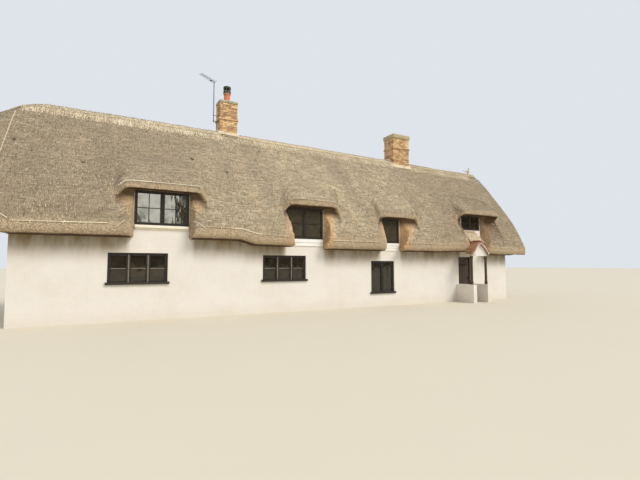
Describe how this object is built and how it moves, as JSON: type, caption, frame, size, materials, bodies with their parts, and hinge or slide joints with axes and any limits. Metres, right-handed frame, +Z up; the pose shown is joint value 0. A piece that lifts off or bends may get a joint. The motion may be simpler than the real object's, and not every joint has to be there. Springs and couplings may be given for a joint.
{
  "type": "thatched cottage",
  "caption": "Long low cottage with rendered walls under a thick thatched roof, eyebrow windows, brick chimneys and a small tiled porch.",
  "frame": {"origin": "on the ground at the middle of the house's plan, under the ridge, on the underside of the ground floor", "axes": "+Z up, +X along the house from the aerial end to the porch end, -Y out of the garden front that has the porch"},
  "size_m": [20.94, 6.82, 8.7073],
  "materials": {
    "lime_render": "rough painted lime render, stained under the eaves",
    "floor_stone": "worn stone flags",
    "floor_boards": "waxed boards",
    "thatch": "weathered straw thatch, matt",
    "ridge_straw": "newer straw, matt",
    "brick": "old orange-red brick in lime mortar",
    "cement": "weathered cement with lichen",
    "mortar": "pale mortar",
    "terracotta": "unglazed clay",
    "cowl_metal": "dark painted steel",
    "aerial_metal": "dull aluminium",
    "dark_joinery": "dark brown painted wood",
    "window_glass": "clear glass over a dark room",
    "clay_tile": "weathered plain clay tile",
    "dark_oak": "dark stained oak"
  },
  "bodies": {
    "root": {"front_wall_left": "lime_render", "front_wall_right": "lime_render", "front_wall_over_door": "lime_render", "back_wall": "lime_render", "left_gable_wall": "lime_render", "right_gable_wall": "lime_render", "porch_gable": "lime_render", "porch_left_dwarf_wall": "lime_render", "porch_right_dwarf_wall": "lime_render", "ground_floor": "floor_stone", "upper_floor": "floor_boards", "front_thatch": "thatch", "back_thatch": "thatch", "porch_apron": "thatch", "ridge_cap": "ridge_straw", "ridge_finial": "ridge_straw", "left_chimney_stack": "brick", "right_chimney_stack": "brick", "left_chimney_cap": "cement", "right_chimney_cap": "cement", "left_chimney_fillet": "mortar", "right_chimney_fillet": "mortar", "chimney_pot": "terracotta", "chimney_cowl": "cowl_metal", "aerial_mast": "aerial_metal", "aerial_bars": "aerial_metal", "upper_window_1_frame": "dark_joinery", "upper_window_1_glass": "window_glass", "upper_window_2_frame": "dark_joinery", "upper_window_2_glass": "window_glass", "upper_window_3_frame": "dark_joinery", "upper_window_3_glass": "window_glass", "upper_window_4_frame": "dark_joinery", "upper_window_4_glass": "window_glass", "back_upper_window_1_frame": "dark_joinery", "back_upper_window_1_glass": "window_glass", "back_upper_window_2_frame": "dark_joinery", "back_upper_window_2_glass": "window_glass", "lower_window_1_frame": "dark_joinery", "lower_window_1_glass": "window_glass", "lower_window_2_frame": "dark_joinery", "lower_window_2_glass": "window_glass", "lower_window_3_frame": "dark_joinery", "lower_window_3_glass": "window_glass", "back_lower_window_1_frame": "dark_joinery", "back_lower_window_1_glass": "window_glass", "back_lower_window_2_frame": "dark_joinery", "back_lower_window_2_glass": "window_glass", "porch_roof": "clay_tile", "porch_left_post": "dark_oak", "porch_right_post": "dark_oak", "door_frame": "dark_oak", "front_door": "dark_oak"}
  },
  "joints": []
}
